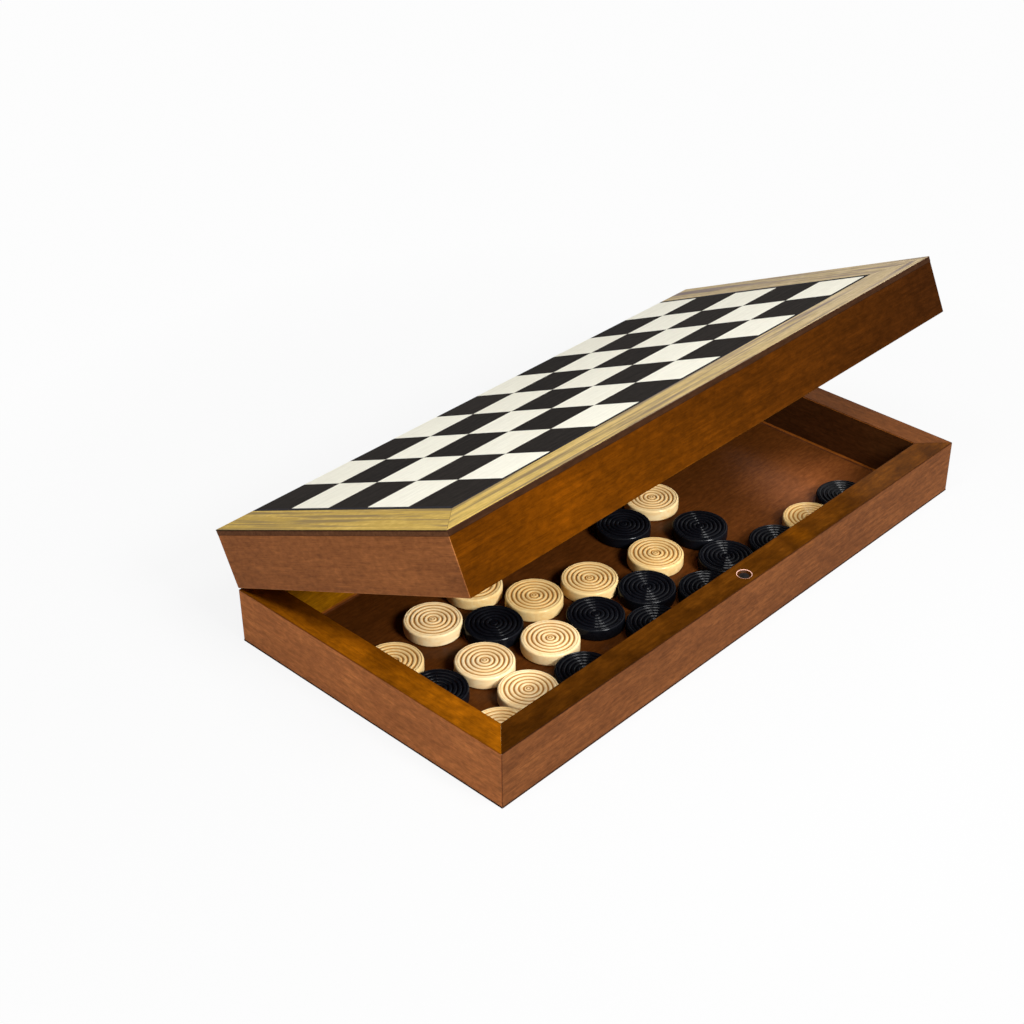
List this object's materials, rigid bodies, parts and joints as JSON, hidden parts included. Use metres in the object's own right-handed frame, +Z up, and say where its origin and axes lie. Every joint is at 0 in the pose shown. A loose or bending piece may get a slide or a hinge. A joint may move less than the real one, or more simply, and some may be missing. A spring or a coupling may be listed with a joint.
{
  "type": "folding draughts box",
  "caption": "Folding wooden games box: shallow mitred tray and lid hinged along the back, a draughts board in veneer across their outsides, loose turned draughts inside.",
  "frame": {"origin": "centre of the flat underside of the lower tray, on the surface that the box stands on", "axes": "+X along the hinge, towards the right as seen from the front; +Y from the front to the hinge; +Z up"},
  "size_m": [0.355, 0.1905, 0.1336],
  "materials": {
    "red_brown_wood": "stained and lacquered, satin",
    "golden_brown_wood": "stained and lacquered, satin",
    "panel_wood": "dark stained and lacquered, glossy",
    "dark_veneer": "lacquered veneer, satin",
    "light_veneer": "lacquered veneer, satin",
    "stringing": "lacquered, satin",
    "border_veneer": "lacquered ash veneer, satin",
    "brass": "satin",
    "magnet": "dull nickel",
    "light_draught_wood": "turned, clear lacquer",
    "dark_draught_wood": "turned, black gloss lacquer"
  },
  "bodies": {
    "tray": {"tray_front_rail": "red_brown_wood", "tray_back_rail": "red_brown_wood", "tray_left_rail": "red_brown_wood", "tray_right_rail": "red_brown_wood", "tray_panel": "panel_wood", "tray_dark_squares": "dark_veneer", "tray_light_squares": "light_veneer", "tray_stringing": "stringing", "tray_border_veneer": "border_veneer", "left_hinge_tray_leaf": "brass", "left_hinge_pin": "brass", "right_hinge_tray_leaf": "brass", "right_hinge_pin": "brass", "tray_hinge_screws": "brass", "tray_magnet": "magnet"},
    "lid": {"lid_front_rail": "golden_brown_wood", "lid_back_rail": "red_brown_wood", "lid_left_rail": "red_brown_wood", "lid_right_rail": "red_brown_wood", "lid_panel": "panel_wood", "lid_dark_squares": "dark_veneer", "lid_light_squares": "light_veneer", "lid_stringing": "stringing", "lid_border_veneer": "border_veneer", "left_hinge_lid_leaf": "brass", "right_hinge_lid_leaf": "brass", "lid_hinge_screws": "brass", "lid_magnet": "magnet"},
    "light_draught_01": {"light_draught_01": "light_draught_wood"},
    "light_draught_02": {"light_draught_02": "light_draught_wood"},
    "light_draught_03": {"light_draught_03": "light_draught_wood"},
    "light_draught_04": {"light_draught_04": "light_draught_wood"},
    "light_draught_05": {"light_draught_05": "light_draught_wood"},
    "light_draught_06": {"light_draught_06": "light_draught_wood"},
    "light_draught_07": {"light_draught_07": "light_draught_wood"},
    "light_draught_08": {"light_draught_08": "light_draught_wood"},
    "light_draught_09": {"light_draught_09": "light_draught_wood"},
    "light_draught_10": {"light_draught_10": "light_draught_wood"},
    "light_draught_11": {"light_draught_11": "light_draught_wood"},
    "light_draught_12": {"light_draught_12": "light_draught_wood"},
    "dark_draught_01": {"dark_draught_01": "dark_draught_wood"},
    "dark_draught_02": {"dark_draught_02": "dark_draught_wood"},
    "dark_draught_03": {"dark_draught_03": "dark_draught_wood"},
    "dark_draught_04": {"dark_draught_04": "dark_draught_wood"},
    "dark_draught_05": {"dark_draught_05": "dark_draught_wood"},
    "dark_draught_06": {"dark_draught_06": "dark_draught_wood"},
    "dark_draught_07": {"dark_draught_07": "dark_draught_wood"},
    "dark_draught_08": {"dark_draught_08": "dark_draught_wood"},
    "dark_draught_09": {"dark_draught_09": "dark_draught_wood"},
    "dark_draught_10": {"dark_draught_10": "dark_draught_wood"},
    "dark_draught_11": {"dark_draught_11": "dark_draught_wood"},
    "dark_draught_12": {"dark_draught_12": "dark_draught_wood"}
  },
  "joints": [
    {"name": "lid_hinge", "type": "hinge", "parent": "tray", "child": "lid", "pos_m": [0, 0.089, 0.0312], "axis": [-1, 0, 0], "range_deg": [-24.6, 155.4]},
    {"name": "light_draught_01_lift", "type": "slide", "parent": "tray", "child": "light_draught_01", "axis": [0, 0, 1], "range_m": [0, 0.04]},
    {"name": "light_draught_02_lift", "type": "slide", "parent": "tray", "child": "light_draught_02", "axis": [0, 0, 1], "range_m": [0, 0.04]},
    {"name": "light_draught_03_lift", "type": "slide", "parent": "tray", "child": "light_draught_03", "axis": [0, 0, 1], "range_m": [0, 0.04]},
    {"name": "light_draught_04_lift", "type": "slide", "parent": "tray", "child": "light_draught_04", "axis": [0, 0, 1], "range_m": [0, 0.04]},
    {"name": "light_draught_05_lift", "type": "slide", "parent": "tray", "child": "light_draught_05", "axis": [0, 0, 1], "range_m": [0, 0.04]},
    {"name": "light_draught_06_lift", "type": "slide", "parent": "tray", "child": "light_draught_06", "axis": [0, 0, 1], "range_m": [0, 0.04]},
    {"name": "light_draught_07_lift", "type": "slide", "parent": "tray", "child": "light_draught_07", "axis": [0, 0, 1], "range_m": [0, 0.04]},
    {"name": "light_draught_08_lift", "type": "slide", "parent": "tray", "child": "light_draught_08", "axis": [0, 0, 1], "range_m": [0, 0.04]},
    {"name": "light_draught_09_lift", "type": "slide", "parent": "tray", "child": "light_draught_09", "axis": [0, 0, 1], "range_m": [0, 0.04]},
    {"name": "light_draught_10_lift", "type": "slide", "parent": "tray", "child": "light_draught_10", "axis": [0, 0, 1], "range_m": [0, 0.04]},
    {"name": "light_draught_11_lift", "type": "slide", "parent": "tray", "child": "light_draught_11", "axis": [0, 0, 1], "range_m": [0, 0.04]},
    {"name": "light_draught_12_lift", "type": "slide", "parent": "tray", "child": "light_draught_12", "axis": [0, 0, 1], "range_m": [0, 0.04]},
    {"name": "dark_draught_01_lift", "type": "slide", "parent": "tray", "child": "dark_draught_01", "axis": [0, 0, 1], "range_m": [0, 0.04]},
    {"name": "dark_draught_02_lift", "type": "slide", "parent": "tray", "child": "dark_draught_02", "axis": [0, 0, 1], "range_m": [0, 0.04]},
    {"name": "dark_draught_03_lift", "type": "slide", "parent": "tray", "child": "dark_draught_03", "axis": [0, 0, 1], "range_m": [0, 0.04]},
    {"name": "dark_draught_04_lift", "type": "slide", "parent": "tray", "child": "dark_draught_04", "axis": [0, 0, 1], "range_m": [0, 0.04]},
    {"name": "dark_draught_05_lift", "type": "slide", "parent": "tray", "child": "dark_draught_05", "axis": [0, 0, 1], "range_m": [0, 0.04]},
    {"name": "dark_draught_06_lift", "type": "slide", "parent": "tray", "child": "dark_draught_06", "axis": [0, 0, 1], "range_m": [0, 0.04]},
    {"name": "dark_draught_07_lift", "type": "slide", "parent": "tray", "child": "dark_draught_07", "axis": [0, 0, 1], "range_m": [0, 0.04]},
    {"name": "dark_draught_08_lift", "type": "slide", "parent": "tray", "child": "dark_draught_08", "axis": [0, 0, 1], "range_m": [0, 0.04]},
    {"name": "dark_draught_09_lift", "type": "slide", "parent": "tray", "child": "dark_draught_09", "axis": [0, 0, 1], "range_m": [0, 0.04]},
    {"name": "dark_draught_10_lift", "type": "slide", "parent": "tray", "child": "dark_draught_10", "axis": [0, 0, 1], "range_m": [0, 0.04]},
    {"name": "dark_draught_11_lift", "type": "slide", "parent": "tray", "child": "dark_draught_11", "axis": [0, 0, 1], "range_m": [0, 0.04]},
    {"name": "dark_draught_12_lift", "type": "slide", "parent": "tray", "child": "dark_draught_12", "axis": [0, 0, 1], "range_m": [0, 0.04]}
  ]
}
